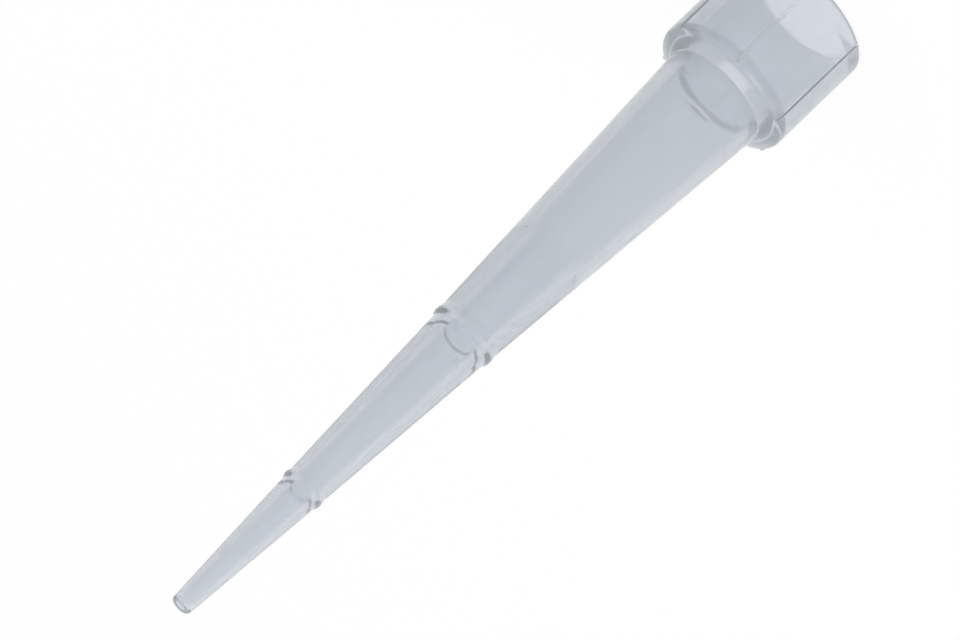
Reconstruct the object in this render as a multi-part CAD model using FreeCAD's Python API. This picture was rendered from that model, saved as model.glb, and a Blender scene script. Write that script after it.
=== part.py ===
import FreeCAD, Part
import math
import os

# A 200 microlitre pipette tip, moulded in one piece from clear polypropylene.
# Millimetres. +Z runs up the axis: z = 0 is the flat rim of the collar, which the tip
# stands on, and the small end with the orifice is at the top.

# Overall form, outside
total_length = 50.0
collar_edge_round = 0.35    # outer edge of the rim
shoulder_angle = 28.0       # how steeply the shoulder rises from the collar to the body
shoulder_round = 0.45       # the shoulder's outer corner
shoulder_foot_round = 0.12  # where the shoulder meets the body
end_diameter = 1.22
end_wall = 0.27
end_round = 0.18

# Grip ribs, low and half round, along the outside of the collar
rib_count = 6
rib_radius = 0.09
rib_height = 0.08           # how far a rib stands proud of the collar
rib_rim_gap = 0.15          # rim to the end of each rib
first_rib_angle = -82.5     # degrees round the axis from +X

# Graduation beads round the body: distance of the middle from the small end, length along
# the axis, the body's diameter at each foot, in front on the side of the small end and
# behind on the side of the collar, and the wall beside each foot
upper_bead_from_end = 9.73  # the 10 microlitre mark
upper_bead_length = 0.76
upper_bead_height = 0.13    # crest above the front foot
upper_front_diameter = 2.34
upper_front_wall = 0.53
upper_behind_diameter = 2.46
upper_behind_wall = 0.55
lower_bead_from_end = 22.56  # the 50 microlitre mark
lower_bead_length = 0.9
lower_bead_height = 0.15
lower_front_diameter = 3.78
lower_front_wall = 0.86
lower_behind_diameter = 3.96
lower_behind_wall = 0.9
bead_nose = 0.26            # front foot to the start of the crest, along the axis
bead_crest_share = 0.5      # the crest's end, as a share of the bead's length
bead_nose_round = 0.25
bead_crest_round = 0.5
bead_foot_round = 0.12

# Step inside the bore, with a flare behind it
fill_step_from_end = 29.4   # the 100 microlitre mark
fill_step_wall = 1.1
fill_step_width = 0.157
flare_length = 1.5
flare_bulge = 0.07          # how far the flare bows outwards from a straight cone
upper_wall = 0.7            # wall of the body behind the flare

# Sockets for the nozzle of the pipette
socket_diameter = 6.52
socket_depth = 5.85
collar_wall = 0.985
lead_in_length = 0.75
lead_in_width = 0.4         # how much wider the mouth is than the socket, on each side
ledge_thickness = 0.83      # socket floor to the corner that the shoulder is rounded from
ledge_round = 0.1
neck_diameter = 4.98        # the narrower socket behind the ledge
neck_wall = 0.69
neck_past_shoulder = 0.74   # how far the neck's cylinder runs into the body

# Low sealing rings inside the sockets
ring_height = 0.014
ring_width = 0.46
ring_round = 0.5
ring_pitch = 1.18
socket_ring_count = 2
socket_ring_to_ledge = 0.98
neck_ring_count = 3
ledge_to_neck_ring = 1.42

# Derived from the sizes above
NONE = 0.0                  # a sharp corner
ledge_z = socket_depth
collar_radius = socket_diameter / 2 + collar_wall
collar_length = socket_depth + ledge_thickness
body_top_radius = neck_diameter / 2 + neck_wall
shoulder_rise = (collar_radius - body_top_radius) * math.tan(math.radians(shoulder_angle))
body_top_z = collar_length + shoulder_rise
lower_bead_z = total_length - lower_bead_from_end
upper_bead_z = total_length - upper_bead_from_end
fill_step_z = total_length - fill_step_from_end
body_stations = [
    (body_top_radius, body_top_z),
    (lower_behind_diameter / 2, lower_bead_z - lower_bead_length / 2),
    (lower_front_diameter / 2, lower_bead_z + lower_bead_length / 2),
    (upper_behind_diameter / 2, upper_bead_z - upper_bead_length / 2),
    (upper_front_diameter / 2, upper_bead_z + upper_bead_length / 2),
    (end_diameter / 2, total_length),
]


def between(start, end, z):
    """Radius at height z on the straight line between two (radius, z) points."""
    share = (z - start[1]) / (end[1] - start[1])
    return start[0] + share * (end[0] - start[0])


def body_radius(z):
    """Outside radius of the body at height z, with the beads left off."""
    for start, end in zip(body_stations, body_stations[1:]):
        if z <= end[1]:
            return between(start, end, z)
    return end_diameter / 2


def shoulder(offset):
    """Corners (radius, z, rounding) of the collar's shoulder, grown outwards by offset."""
    corner_shift = offset * math.tan(math.radians(90 - shoulder_angle) / 2)
    foot_shift = offset / math.cos(math.radians(shoulder_angle))
    return [
        (collar_radius + offset, collar_length + corner_shift, shoulder_round + offset),
        (body_top_radius, body_top_z + foot_shift, shoulder_foot_round),
    ]


def bead(behind, front, height):
    """Corners of the bead between two stations of the body, with its crest in between."""
    length = front[1] - behind[1]
    crest = front[0] + height
    return [
        behind + (bead_foot_round,),
        (crest, front[1] - length * bead_crest_share, bead_crest_round),
        (crest, front[1] - bead_nose, bead_nose_round),
        front + (bead_foot_round,),
    ]


def outside():
    """Corners of the outer outline, from the rim to the small end."""
    corners = [(collar_radius, 0, collar_edge_round)]
    corners += shoulder(0)
    corners += bead(body_stations[1], body_stations[2], lower_bead_height)
    corners += bead(body_stations[3], body_stations[4], upper_bead_height)
    corners.append((end_diameter / 2, total_length, end_round))
    return corners


def with_rings(start, end, heights):
    """The line from start to end with a low ring on it at each of the heights."""
    corners = [start + (NONE,)]
    for z in heights:
        for along, proud in ((-ring_width / 2, 0), (0, ring_height), (ring_width / 2, 0)):
            radius = between(start, end, z + along) - proud
            corners.append((radius, z + along, ring_round if proud else NONE))
    return corners


def flare_base():
    """Where the upper bore meets the flare, as (radius, z)."""
    z = fill_step_z - flare_length
    return (body_radius(z) - upper_wall, z)


def step_radius():
    return body_radius(fill_step_z) - fill_step_wall


def sockets():
    """Corners of the two sockets and the upper bore, from the mouth to the flare."""
    socket = socket_diameter / 2
    neck = neck_diameter / 2
    neck_top = (neck, body_top_z + neck_past_shoulder)
    socket_rings = [
        ledge_z - socket_ring_to_ledge - number * ring_pitch
        for number in reversed(range(socket_ring_count))
    ]
    neck_rings = [
        ledge_z + ledge_to_neck_ring + number * ring_pitch for number in range(neck_ring_count)
    ]
    in_neck = [z for z in neck_rings if z + ring_width / 2 < neck_top[1]]
    in_body = [z for z in neck_rings if z - ring_width / 2 > neck_top[1]]
    corners = [(socket + lead_in_width, 0, NONE)]
    corners += with_rings((socket, lead_in_length), (socket, ledge_z), socket_rings)
    corners.append((socket, ledge_z, ledge_round))
    corners += with_rings((neck, ledge_z), neck_top, in_neck)
    corners += with_rings(neck_top, flare_base(), in_body)
    corners.append(flare_base() + (NONE,))
    return corners


def lower_bore():
    """Corners of the narrow bore, from the inner fill step to the orifice."""
    corners = [
        (step_radius() + fill_step_width, fill_step_z, NONE),
        (step_radius(), fill_step_z, NONE),
    ]
    walls = (lower_behind_wall, lower_front_wall, upper_behind_wall, upper_front_wall, end_wall)
    for (radius, z), wall in zip(body_stations[1:], walls):
        corners.append((radius - wall, z, NONE))
    return corners


def vector(radius, z):
    return FreeCAD.Vector(radius, 0, z)


def rounded(corners):
    """Edges through the corners, with a tangent arc wherever a corner has a rounding."""
    points = [vector(radius, z) for radius, z, _ in corners]
    edges = []
    here = points[0]
    for index in range(1, len(points)):
        corner = points[index]
        radius = corners[index][2]
        last = index == len(points) - 1
        if last or radius == NONE:
            edges.append(Part.LineSegment(here, corner).toShape())
            here = corner
            continue
        back = (points[index - 1] - corner).normalize()
        ahead = (points[index + 1] - corner).normalize()
        half_angle = back.getAngle(ahead) / 2
        reach = radius / math.tan(half_angle)
        middle = (back + ahead).normalize()
        centre = corner + middle * (radius / math.sin(half_angle))
        arc_start = corner + back * reach
        arc_end = corner + ahead * reach
        edges.append(Part.LineSegment(here, arc_start).toShape())
        edges.append(Part.Arc(arc_start, centre - middle * radius, arc_end).toShape())
        here = arc_end
    return edges


def flare():
    """The bowed stretch of bore between the upper bore and the inner fill step."""
    base = vector(*flare_base())
    top = vector(step_radius() + fill_step_width, fill_step_z)
    middle = (base + top) * 0.5 + FreeCAD.Vector(flare_bulge, 0, 0)
    return [Part.Arc(base, middle, top).toShape()]


def revolved(edges):
    face = Part.Face(Part.Wire(edges))
    return face.revolve(FreeCAD.Vector(0, 0, 0), FreeCAD.Vector(0, 0, 1), 360)


def moulded_body():
    """Collar, shoulder, body and bore as one closed outline turned about the axis."""
    inner = rounded(sockets()) + flare() + rounded(lower_bore())
    rim = sockets()[0]
    orifice = lower_bore()[-1]
    outer = rounded([rim] + outside() + [orifice])
    return revolved(outer + list(reversed(inner)))


def rib_envelope():
    """The collar grown by the height of a rib, which the ribs are trimmed to."""
    side = (collar_radius + rib_height, rib_rim_gap, rib_height)
    shoulder_corner, foot = shoulder(rib_height)
    axis_top = (0, foot[1], NONE)
    corners = [(0, rib_rim_gap, NONE), side, shoulder_corner, foot[:2] + (NONE,), axis_top]
    edges = rounded(corners)
    edges.append(Part.LineSegment(vector(0, axis_top[1]), vector(0, rib_rim_gap)).toShape())
    return revolved(edges)


def ribs():
    """Half-round ribs set evenly round the collar, each following the shoulder at its end."""
    rod_centre = collar_radius + rib_height - rib_radius
    envelope = rib_envelope()
    made = []
    for number in range(rib_count):
        rod = Part.makeCylinder(rib_radius, body_top_z, vector(rod_centre, 0))
        rod.rotate(
            FreeCAD.Vector(0, 0, 0),
            FreeCAD.Vector(0, 0, 1),
            first_rib_angle + number * 360 / rib_count,
        )
        made.append(rod.common(envelope))
    return made


def pipette_tip():
    return moulded_body().fuse(ribs()).removeSplitter()


os.makedirs("parts", exist_ok=True)
pipette_tip().exportStep("parts/pipette_tip.step")
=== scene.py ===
import math

import bpy
from mathutils import Matrix, Vector

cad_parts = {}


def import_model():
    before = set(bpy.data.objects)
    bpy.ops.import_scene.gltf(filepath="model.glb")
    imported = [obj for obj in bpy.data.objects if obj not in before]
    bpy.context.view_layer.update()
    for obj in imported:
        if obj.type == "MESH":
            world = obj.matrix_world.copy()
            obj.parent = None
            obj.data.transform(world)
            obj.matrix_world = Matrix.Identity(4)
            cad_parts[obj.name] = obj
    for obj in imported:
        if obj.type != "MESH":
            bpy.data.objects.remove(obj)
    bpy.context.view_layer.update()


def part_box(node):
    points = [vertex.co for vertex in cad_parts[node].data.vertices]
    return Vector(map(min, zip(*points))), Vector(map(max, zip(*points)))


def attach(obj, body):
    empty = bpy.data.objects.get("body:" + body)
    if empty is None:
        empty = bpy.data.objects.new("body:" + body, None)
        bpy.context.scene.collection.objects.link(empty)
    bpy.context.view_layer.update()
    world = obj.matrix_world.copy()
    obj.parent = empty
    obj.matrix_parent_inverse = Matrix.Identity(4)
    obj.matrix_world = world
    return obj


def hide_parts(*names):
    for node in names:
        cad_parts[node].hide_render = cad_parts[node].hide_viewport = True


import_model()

# A clear pipette tip of the 200 microlitre class. Metres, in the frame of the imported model:
# +Z runs up the axis, z = 0 is the rim of the collar, and the small end is at the top.

NODE = "pipette_tip"
MM = 0.001

total_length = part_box(NODE)[1][2]

# Outside of the tip, in millimetres
collar_radius = 4.245
collar_edge_round = 0.35
collar_length = 6.68        # rim to the corner that the shoulder is rounded from
shoulder_angle = 28.0
shoulder_round = 0.45
shoulder_foot_round = 0.12
body_top_radius = 3.18
end_radius = 0.61
end_round = 0.18

# Graduation beads: middle, length, body radius behind and in front, height of the crest
lower_bead = {"z": 27.44, "length": 0.90, "behind": 1.98, "front": 1.89, "height": 0.15}
upper_bead = {"z": 40.27, "length": 0.76, "behind": 1.23, "front": 1.17, "height": 0.13}
bead_nose = 0.26
bead_crest_share = 0.5
bead_nose_round = 0.25
bead_crest_round = 0.5
bead_foot_round = 0.12

# Sockets and bore
mouth_radius = 3.66
socket_radius = 3.26
lead_in_length = 0.75
ledge_z = 5.85
ledge_round = 0.1
neck_radius = 2.49
neck_top_z = 7.99
ring_height = 0.014
ring_width = 0.46
ring_round = 0.5
socket_rings = [3.69, 4.87]
neck_rings = [7.27, 8.45, 9.63]
flare_base = (1.76, 19.1)
flare_bulge = 0.07
fill_step = (1.275, 20.6)
fill_step_width = 0.157
lower_bore = [(1.08, 26.99), (1.03, 27.89), (0.68, 39.89), (0.64, 40.65)]
orifice_radius = 0.34

# Grip ribs round the collar
rib_count = 6
rib_radius = 0.09
rib_height = 0.08
rib_rim_gap = 0.15
first_rib_angle = -82.5

# How finely the mesh follows the outline
arc_step = math.radians(9)      # turn along a rounded corner
longest_run = 1.2               # along a straight stretch, millimetres
guard = 0.02                    # a row this close to each end of a straight stretch
plain_column = 1.5              # degrees round the axis
rib_column = 0.22               # degrees, across a rib
rib_half_width = 1.6            # degrees that a rib's columns reach to each side
sharp_edge = 28.0               # degrees
flare_steps = 12                # along the bowed stretch of bore
rib_reach = (1.2, 1.0)          # how far in and past the collar a rib is looked for

NONE = 0.0                      # a corner that isn't rounded


def between(start, end, z):
    """Radius at height z on the straight line between two (radius, z) points."""
    share = (z - start[1]) / (end[1] - start[1])
    return start[0] + share * (end[0] - start[0])


def rounded(corners):
    """Points along the corners (radius, z, rounding), with an arc at each rounding."""
    points = [Vector(corners[0][:2])]
    for index in range(1, len(corners) - 1):
        corner = Vector(corners[index][:2])
        radius = corners[index][2]
        if radius == NONE:
            points.append(corner)
            continue
        back = (Vector(corners[index - 1][:2]) - corner).normalized()
        ahead = (Vector(corners[index + 1][:2]) - corner).normalized()
        half_angle = back.angle(ahead) / 2
        reach = radius / math.tan(half_angle)
        centre = corner + (back + ahead).normalized() * (radius / math.sin(half_angle))
        first = corner + back * reach - centre
        turn = first.angle_signed(corner + ahead * reach - centre)
        steps = max(2, math.ceil(abs(turn) / arc_step))
        for step in range(steps + 1):
            spoke = first.copy()
            spoke.rotate(Matrix.Rotation(-turn * step / steps, 2))
            points.append(centre + spoke)
    points.append(Vector(corners[-1][:2]))
    return points


def divided(points):
    """The same outline with guard rows beside each corner and no long runs."""
    result = [points[0]]
    for start, end in zip(points, points[1:]):
        run = end - start
        length = run.length
        if length > 4 * guard:
            inner_start = start + run * (guard / length)
            inner_end = end - run * (guard / length)
            pieces = max(1, math.ceil(length / longest_run))
            for piece in range(pieces + 1):
                result.append(inner_start.lerp(inner_end, piece / pieces))
        result.append(end)
    return result


def bead(size):
    """Corners of a graduation bead, from the foot behind it to the foot in front."""
    behind_z = size["z"] - size["length"] / 2
    front_z = size["z"] + size["length"] / 2
    crest = size["front"] + size["height"]
    return [
        (size["behind"], behind_z, bead_foot_round),
        (crest, front_z - size["length"] * bead_crest_share, bead_crest_round),
        (crest, front_z - bead_nose, bead_nose_round),
        (size["front"], front_z, bead_foot_round),
    ]


def outside():
    """Corners of the outer outline, from the rim to the small end."""
    rise = (collar_radius - body_top_radius) * math.tan(math.radians(shoulder_angle))
    length = total_length / MM
    corners = [
        (mouth_radius, 0, NONE),
        (collar_radius, 0, collar_edge_round),
        (collar_radius, collar_length, shoulder_round),
        (body_top_radius, collar_length + rise, shoulder_foot_round),
    ]
    corners += bead(lower_bead)
    corners += bead(upper_bead)
    corners += [(end_radius, length, end_round), (orifice_radius, length, NONE)]
    return corners


def with_rings(start, end, heights):
    """The line from start to end with a low ring on it at each of the heights."""
    corners = [start + (NONE,)]
    for z in heights:
        for along, proud in ((-ring_width / 2, 0), (0, ring_height), (ring_width / 2, 0)):
            radius = between(start, end, z + along) - proud
            corners.append((radius, z + along, ring_round if proud else NONE))
    return corners


def flare():
    """Points along the bowed stretch of bore below the inner fill step."""
    start = Vector(flare_base)
    end = Vector((fill_step[0] + fill_step_width, fill_step[1]))
    points = []
    for step in range(1, flare_steps):
        share = step / flare_steps
        bow = flare_bulge * 4 * share * (1 - share)
        points.append(start.lerp(end, share) + Vector((bow, 0)))
    return points + [end]


def inside():
    """Points of the bore, from the mouth to the orifice."""
    neck_top = (neck_radius, neck_top_z)
    in_neck = [z for z in neck_rings if z + ring_width / 2 < neck_top_z]
    in_body = [z for z in neck_rings if z - ring_width / 2 > neck_top_z]
    corners = [(mouth_radius, 0, NONE)]
    corners += with_rings((socket_radius, lead_in_length), (socket_radius, ledge_z), socket_rings)
    corners.append((socket_radius, ledge_z, ledge_round))
    corners += with_rings((neck_radius, ledge_z), neck_top, in_neck)
    corners += with_rings(neck_top, flare_base, in_body)
    corners.append(flare_base + (NONE,))
    bore = [fill_step] + lower_bore + [(orifice_radius, total_length / MM)]
    return divided(rounded(corners)) + flare() + divided([Vector(point) for point in bore])


def column_angles():
    """Angles round the axis, closer together across each rib."""
    angles = []
    pitch = 360 / rib_count
    for number in range(rib_count):
        rib = first_rib_angle + number * pitch
        across = round(2 * rib_half_width / rib_column)
        angles += [rib - rib_half_width + 2 * rib_half_width * k / across for k in range(across)]
        gap = pitch - 2 * rib_half_width
        plain = round(gap / plain_column)
        angles += [rib + rib_half_width + gap * k / plain for k in range(plain)]
    return [math.radians(angle) for angle in angles]


def rib_lift(radius, z, normal, angle):
    """How far a rib lifts the collar's surface along its normal, in millimetres."""
    if z < rib_rim_gap:
        return 0.0
    pitch = math.radians(360 / rib_count)
    off = (angle - math.radians(first_rib_angle) + pitch / 2) % pitch - pitch / 2
    rod = collar_radius + rib_height - rib_radius
    across = radius * math.sin(off)
    out = radius * math.cos(off) - rod
    inside_rod = rib_radius**2 - across**2 - out**2
    if inside_rod <= 0:
        return 0.0
    way_out = math.sqrt(max(0.0, rib_radius**2 - across**2)) - out
    lift = min(rib_height, way_out / max(normal.x, 0.05))
    ends = min(1.0, (z - rib_rim_gap) / rib_height)
    return lift * math.sqrt(1 - (1 - ends) ** 2)


def outline_normals(points):
    """Outward normal of the outer outline at each of its points."""
    normals = []
    for index in range(len(points)):
        before = points[max(0, index - 1)]
        after = points[min(len(points) - 1, index + 1)]
        along = (after - before).normalized()
        normals.append(Vector((along.y, -along.x)))
    return normals


def tip_mesh():
    """The whole tip as one closed skin turned round the axis."""
    outer = divided(rounded(outside()))
    inner = inside()
    normals = outline_normals(outer)
    angles = column_angles()
    columns = len(angles)
    verts = []
    for index, point in enumerate(outer):
        near_rib = point.x > collar_radius - rib_reach[0] and point.y < collar_length + rib_reach[1]
        for angle in angles:
            lift = rib_lift(point.x, point.y, normals[index], angle) if near_rib else 0.0
            place = (point + normals[index] * lift) * MM
            verts.append((place.x * math.cos(angle), place.x * math.sin(angle), place.y))
    for point in reversed(inner[1:-1]):
        for angle in angles:
            place = point * MM
            verts.append((place.x * math.cos(angle), place.x * math.sin(angle), place.y))
    rows = len(verts) // columns
    faces = []
    for row in range(rows):
        here = row * columns
        there = ((row + 1) % rows) * columns
        for column in range(columns):
            beside = (column + 1) % columns
            faces.append((here + column, here + beside, there + beside, there + column))
    mesh = bpy.data.meshes.new("moulded_tip")
    mesh.from_pydata(verts, [], faces)
    mesh.shade_smooth()
    mesh.set_sharp_from_angle(angle=math.radians(sharp_edge))
    mesh.validate()
    return mesh


class Nodes:
    """Short calls to add and link the nodes of one material or world."""

    def __init__(self, owner):
        owner.use_nodes = True
        self.tree = owner.node_tree
        self.tree.nodes.clear()

    def add(self, kind, settings=None, **inputs):
        node = self.tree.nodes.new(kind)
        for name, value in (settings or {}).items():
            setattr(node, name, value)
        for name, value in inputs.items():
            socket = node.inputs[int(name[1:])] if name[0] == "_" else node.inputs[name.replace("_", " ")]
            if isinstance(value, bpy.types.NodeSocket):
                self.tree.links.new(value, socket)
            else:
                socket.default_value = value
        return node

    def ramp(self, factor, stops):
        node = self.add("ShaderNodeValToRGB", Fac=factor)
        elements = node.color_ramp.elements
        while len(elements) > 1:
            elements.remove(elements[-1])
        for index, (place, colour) in enumerate(stops):
            element = elements[0] if index == 0 else elements.new(place)
            element.position = place
            element.color = (*colour, 1)
        return node.outputs["Color"]


# The plastic
base_colour = (0.858, 0.890, 0.932)
haze_colour = (0.834, 0.868, 0.914)
absorbed_colour = (0.34, 0.42, 0.50)
absorption_per_metre = 150.0
clear_share = 0.72              # the rest scatters light as milkiness
refractive_index = 1.49
hazy_up_to = 6.3                # heights between which the collar's roughness gives way, mm
clearer_from = 8.3
body_roughness = 0.08
collar_roughness = 0.12


def plastic():
    """Nearly clear, slightly milky polypropylene with faint flow marks, hazier at the collar."""
    material = bpy.data.materials.new("clear_polypropylene")
    nodes = Nodes(material)
    place = nodes.add("ShaderNodeTexCoord").outputs["Object"]
    stretched = nodes.add("ShaderNodeMapping", Vector=place, Scale=(900, 900, 60)).outputs[0]
    flow = nodes.add("ShaderNodeTexNoise", Vector=stretched, Scale=1.0, Detail=3.0).outputs[0]
    fine = nodes.add("ShaderNodeTexNoise", Vector=place, Scale=2600.0, Detail=2.0).outputs[0]
    height = nodes.add("ShaderNodeSeparateXYZ", Vector=place).outputs["Z"]
    colour = nodes.ramp(flow, [(0.35, haze_colour), (0.65, base_colour)])
    collar = nodes.add(
        "ShaderNodeMapRange",
        Value=height,
        From_Min=hazy_up_to * MM,
        From_Max=clearer_from * MM,
        To_Min=collar_roughness,
        To_Max=body_roughness,
    ).outputs[0]
    uneven = nodes.add(
        "ShaderNodeMapRange", Value=fine, From_Min=0.3, From_Max=0.7, To_Min=0.7, To_Max=1.3
    ).outputs[0]
    rough = nodes.add("ShaderNodeMath", {"operation": "MULTIPLY"}, _0=collar, _1=uneven).outputs[0]
    bump = nodes.add("ShaderNodeBump", Height=flow, Strength=0.02, Distance=0.00002)
    shader = nodes.add(
        "ShaderNodeBsdfPrincipled",
        Base_Color=colour,
        Roughness=rough,
        IOR=refractive_index,
        Normal=bump.outputs[0],
    )
    shader.inputs["Transmission Weight"].default_value = clear_share
    volume = nodes.add(
        "ShaderNodeVolumeAbsorption", Color=(*absorbed_colour, 1), Density=absorption_per_metre
    )
    out = nodes.add("ShaderNodeOutputMaterial")
    nodes.tree.links.new(shader.outputs[0], out.inputs["Surface"])
    nodes.tree.links.new(volume.outputs[0], out.inputs["Volume"])
    return material


# The light: the same plain white wherever the floor and the world are seen as background,
# straight, in gloss or through the clear plastic, and plain soft light on the scene
plain_strength = 0.7
white_strength = 1.0
floor_colour = (0.92, 0.92, 0.92)
floor_lift = 0.85               # share of white in the floor as background, the rest is lit
floor_lift_strength = 1.02
key_place = (-0.4, -0.5, 0.9)
key_size = 0.6
key_watts = 4.5


def seen_as_background(nodes):
    """1 for rays from the camera and for rays that gloss or clear plastic sends on, else 0."""
    path = nodes.add("ShaderNodeLightPath").outputs
    sent_on = nodes.add(
        "ShaderNodeMath",
        {"operation": "MAXIMUM"},
        _0=path["Is Glossy Ray"],
        _1=path["Is Transmission Ray"],
    ).outputs[0]
    return nodes.add(
        "ShaderNodeMath", {"operation": "MAXIMUM"}, _0=path["Is Camera Ray"], _1=sent_on
    ).outputs[0]


def floor_material():
    """Pale floor that keeps a soft shadow, lifted to white where it is seen as background."""
    material = bpy.data.materials.new("pale_floor")
    nodes = Nodes(material)
    pale = nodes.add("ShaderNodeBsdfDiffuse", Color=(*floor_colour, 1)).outputs[0]
    white = nodes.add(
        "ShaderNodeEmission", Color=(1, 1, 1, 1), Strength=floor_lift_strength
    ).outputs[0]
    share = nodes.add(
        "ShaderNodeMath", {"operation": "MULTIPLY"}, _0=seen_as_background(nodes), _1=floor_lift
    ).outputs[0]
    surface = nodes.add("ShaderNodeMixShader", Fac=share, _1=pale, _2=white).outputs[0]
    out = nodes.add("ShaderNodeOutputMaterial")
    nodes.tree.links.new(surface, out.inputs["Surface"])
    return material


def world():
    """Plain soft light all round, white wherever it is seen as background."""
    made = bpy.data.worlds.new("studio")
    bpy.context.scene.world = made
    nodes = Nodes(made)
    plain = nodes.add("ShaderNodeBackground", Color=(1, 1, 1, 1), Strength=plain_strength).outputs[0]
    white = nodes.add("ShaderNodeBackground", Color=(1, 1, 1, 1), Strength=white_strength).outputs[0]
    seen = seen_as_background(nodes)
    mixed = nodes.add("ShaderNodeMixShader", Fac=seen, _1=plain, _2=white).outputs[0]
    out = nodes.add("ShaderNodeOutputWorld")
    nodes.tree.links.new(mixed, out.inputs["Surface"])


def floor():
    """A wide flat floor that the tip stands on."""
    half = 4.0
    mesh = bpy.data.meshes.new("floor")
    corners = [(-half, -half, 0), (half, -half, 0), (half, half, 0), (-half, half, 0)]
    mesh.from_pydata(corners, [], [(0, 1, 2, 3)])
    mesh.materials.append(floor_material())
    made = bpy.data.objects.new("floor", mesh)
    bpy.context.collection.objects.link(made)


def lamp(name, place, size, watts):
    """A soft round lamp that faces the origin."""
    data = bpy.data.lights.new(name, "AREA")
    data.shape = "DISK"
    data.size = size
    data.energy = watts
    made = bpy.data.objects.new(name, data)
    made.location = place
    made.rotation_mode = "QUATERNION"
    made.rotation_quaternion = (-Vector(place)).to_track_quat("-Z", "Y")
    bpy.context.collection.objects.link(made)


# Camera: the side of the tip that it sees is -Y
camera_elevation = 23.0
camera_roll = -133.72
camera_distance = 1.0
frame_width = 0.05127         # across the picture, at the tip
aim = Vector((-0.00002, 0, 0.02617))


def camera():
    """The camera at the tip's picture angle, rolled so that the tip lies aslant."""
    data = bpy.data.cameras.new("camera")
    data.sensor_width = 36.0
    data.lens = data.sensor_width * camera_distance / frame_width
    data.clip_end = 20.0
    made = bpy.data.objects.new("camera", data)
    rise = math.radians(camera_elevation)
    back = Vector((0, -math.cos(rise), math.sin(rise)))
    made.location = aim + back * camera_distance
    made.rotation_mode = "QUATERNION"
    upright = (-back).to_track_quat("-Z", "Y")
    roll = Matrix.Rotation(math.radians(camera_roll), 3, "Z").to_quaternion()
    made.rotation_quaternion = upright @ roll
    bpy.context.collection.objects.link(made)
    bpy.context.scene.camera = made


def tip():
    """The dressed tip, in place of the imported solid."""
    mesh = tip_mesh()
    mesh.materials.append(plastic())
    made = bpy.data.objects.new("moulded_tip", mesh)
    bpy.context.collection.objects.link(made)
    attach(made, "root")
    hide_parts(NODE)


bpy.context.scene.view_settings.view_transform = "Standard"
camera()
world()
floor()
lamp("key", key_place, key_size, key_watts)
tip()

# Light that is caught between the tip's inner and outer walls needs many bounces to leave
bounces = 256
bpy.context.scene.cycles.max_bounces = bounces
bpy.context.scene.cycles.transmission_bounces = bounces
bpy.context.scene.cycles.glossy_bounces = bounces
